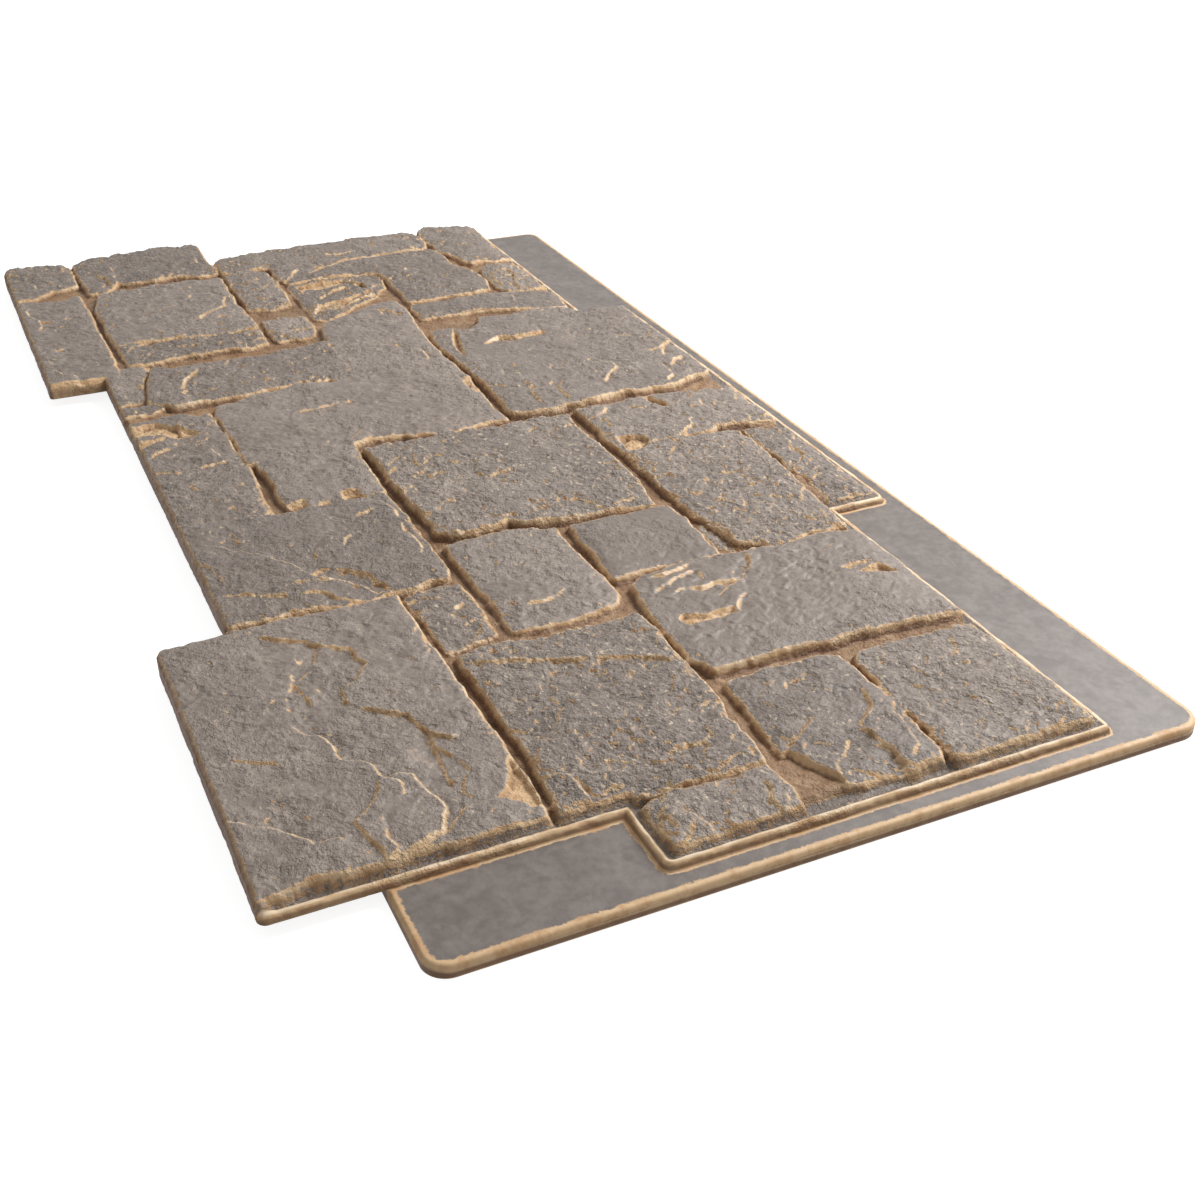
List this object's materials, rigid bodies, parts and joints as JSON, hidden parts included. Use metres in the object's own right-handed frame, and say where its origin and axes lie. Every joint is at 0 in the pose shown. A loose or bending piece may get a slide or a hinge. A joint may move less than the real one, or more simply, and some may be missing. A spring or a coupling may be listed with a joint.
{
  "type": "faux stone wall panel",
  "caption": "Moulded wall panel with a face of squared stones in relief, stepped keyed edges, and a thin lap flange along one end and one side.",
  "frame": {"origin": "middle of the flat back, half way along the overall length and width", "axes": "+X along the panel towards the flanged end, +Y across it towards the flanged side, +Z out of the stone face"},
  "size_m": [1.2216, 0.627, 0.029],
  "materials": {
    "painted_foam": "matt grey dry-brushed over a tan base coat"
  },
  "bodies": {
    "root": {"stone_panel": "painted_foam"}
  },
  "joints": []
}
